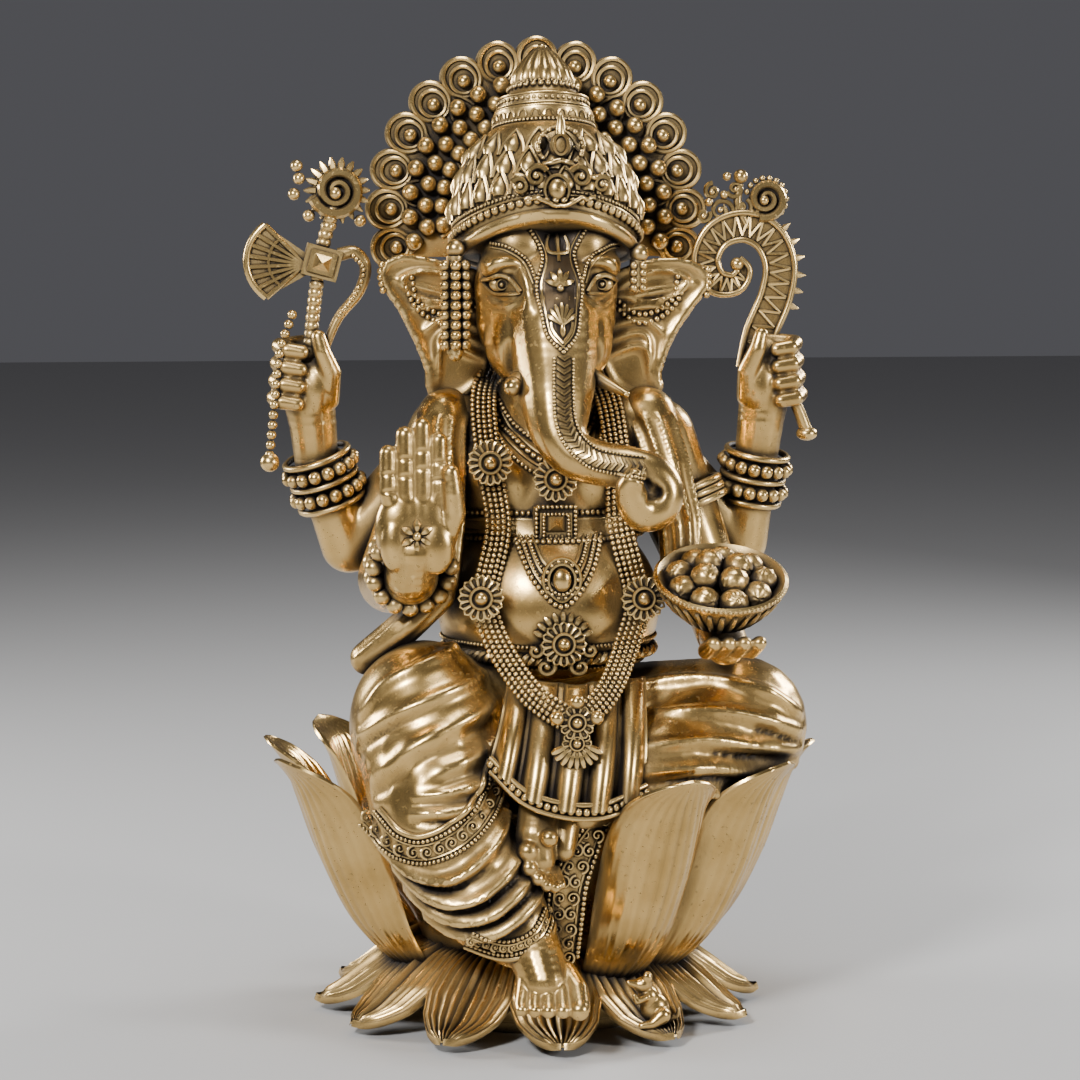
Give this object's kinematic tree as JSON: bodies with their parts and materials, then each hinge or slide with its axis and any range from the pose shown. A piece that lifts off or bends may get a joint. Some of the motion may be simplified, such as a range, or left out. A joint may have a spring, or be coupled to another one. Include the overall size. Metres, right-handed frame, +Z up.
{
  "type": "seated elephant-headed deity figure",
  "caption": "Brass devotional figure: an elephant-headed deity with raised arms, seated on a lotus in front of a feather fan.",
  "frame": {"origin": "on the table, under the middle of the lotus, at the underside of the base plate", "axes": "+Z up, -Y the way the figure faces, +X the figure's left"},
  "size_m": [0.1578, 0.1463, 0.2695],
  "materials": {
    "antique_brass": "burnished high points, dark brown patina in the recesses",
    "polished_brass": "polished, with fine chased veins",
    "steel": "plain machined"
  },
  "bodies": {
    "root": {"axe": "antique_brass", "base_plate": "antique_brass", "base_screws": "steel", "bowl": "antique_brass", "chest_band": "antique_brass", "collar": "antique_brass", "crown": "antique_brass", "crown_finial": "antique_brass", "crown_tassels": "antique_brass", "filigree_strip": "antique_brass", "front_cloth": "antique_brass", "front_left_arm": "antique_brass", "front_left_armlet": "antique_brass", "front_left_hand": "antique_brass", "front_right_arm": "antique_brass", "front_right_bracelet": "antique_brass", "front_right_hand": "antique_brass", "garland": "antique_brass", "halo": "antique_brass", "halo_beads": "antique_brass", "head": "antique_brass", "hips": "antique_brass", "left_ear": "antique_brass", "left_foot": "antique_brass", "left_leg": "antique_brass", "left_sash": "antique_brass", "left_tusk": "antique_brass", "lotus_core": "antique_brass", "lower_petal_ring": "polished_brass", "mouse": "antique_brass", "noose": "antique_brass", "noose_tail": "antique_brass", "pendant": "antique_brass", "rear_left_arm": "antique_brass", "rear_left_bangles": "antique_brass", "rear_left_hand": "antique_brass", "rear_right_arm": "antique_brass", "rear_right_bangles": "antique_brass", "rear_right_hand": "antique_brass", "right_ear": "antique_brass", "right_foot": "antique_brass", "right_leg": "antique_brass", "right_sash": "antique_brass", "right_tusk": "antique_brass", "rosettes": "antique_brass", "sweets": "antique_brass", "tie_nut": "steel", "tie_stud": "steel", "torso": "antique_brass", "upper_petal_01": "polished_brass", "upper_petal_02": "polished_brass", "upper_petal_03": "polished_brass", "upper_petal_04": "polished_brass", "upper_petal_05": "polished_brass", "upper_petal_06": "polished_brass", "upper_petal_07": "polished_brass", "upper_petal_08": "polished_brass", "upper_petal_09": "polished_brass", "upper_petal_10": "polished_brass", "waist_belt": "antique_brass"}
  },
  "joints": []
}
